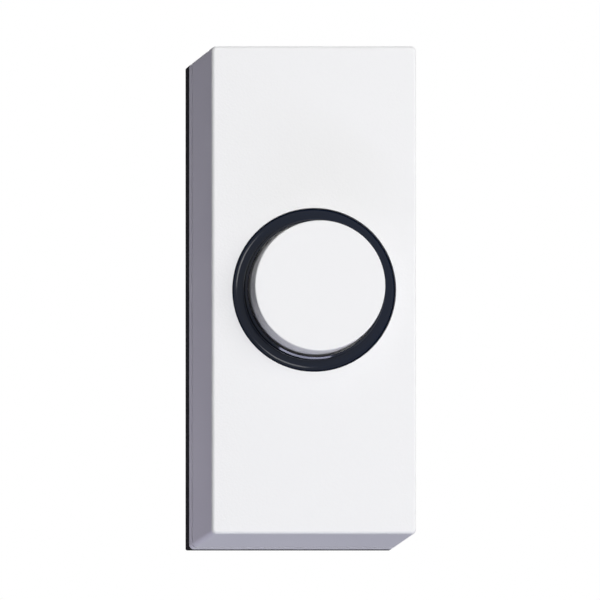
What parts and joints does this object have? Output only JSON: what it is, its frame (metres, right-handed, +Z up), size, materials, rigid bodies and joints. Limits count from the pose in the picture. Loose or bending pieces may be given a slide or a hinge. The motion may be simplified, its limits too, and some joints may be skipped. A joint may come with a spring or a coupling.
{
  "type": "doorbell push button",
  "caption": "Surface-mounted wired bell push: white box cover on a black base, black ring round a sprung round push button, with contacts and screw terminals inside.",
  "frame": {"origin": "middle of the base's flat back, on the wall", "axes": "+Z up the wall, +X to the right of someone facing the push, +Y into the wall; the button faces -Y"},
  "size_m": [0.035, 0.0216, 0.083],
  "materials": {
    "cover_white": "moulded white ABS, very fine matt grain",
    "button_white": "moulded white ABS, satin",
    "surround_black": "moulded black ABS, polished",
    "base_black": "moulded black ABS, satin",
    "brass": "stamped or turned brass",
    "phosphor_bronze": "rolled spring strip, bright",
    "silver_contact": "silver-faced contact rivet",
    "zinc_steel": "bright zinc plate",
    "spring_steel": "drawn spring wire"
  },
  "bodies": {
    "housing": {"base_plate": "base_black", "cover": "cover_white", "button_surround": "surround_black", "contact_strip_left": "brass", "contact_strip_right": "brass", "contact_tip_left": "silver_contact", "contact_tip_right": "silver_contact", "terminal_nut_left": "zinc_steel", "terminal_nut_right": "zinc_steel", "terminal_clamp_left": "brass", "terminal_clamp_right": "brass", "terminal_screw_left": "brass", "terminal_screw_right": "brass", "return_spring": "spring_steel"},
    "button": {"button_cap": "button_white", "contact_bridge": "phosphor_bronze", "bridge_tip_left": "silver_contact", "bridge_tip_right": "silver_contact", "bridge_washer": "zinc_steel", "bridge_screw": "zinc_steel"}
  },
  "joints": [
    {"name": "button_press", "type": "slide", "parent": "housing", "child": "button", "axis": [0, 1, 0], "range_m": [0, 0.0015], "stiffness_N_per_m": 600, "springref_m": -0.003, "deforming": ["return_spring"]}
  ]
}
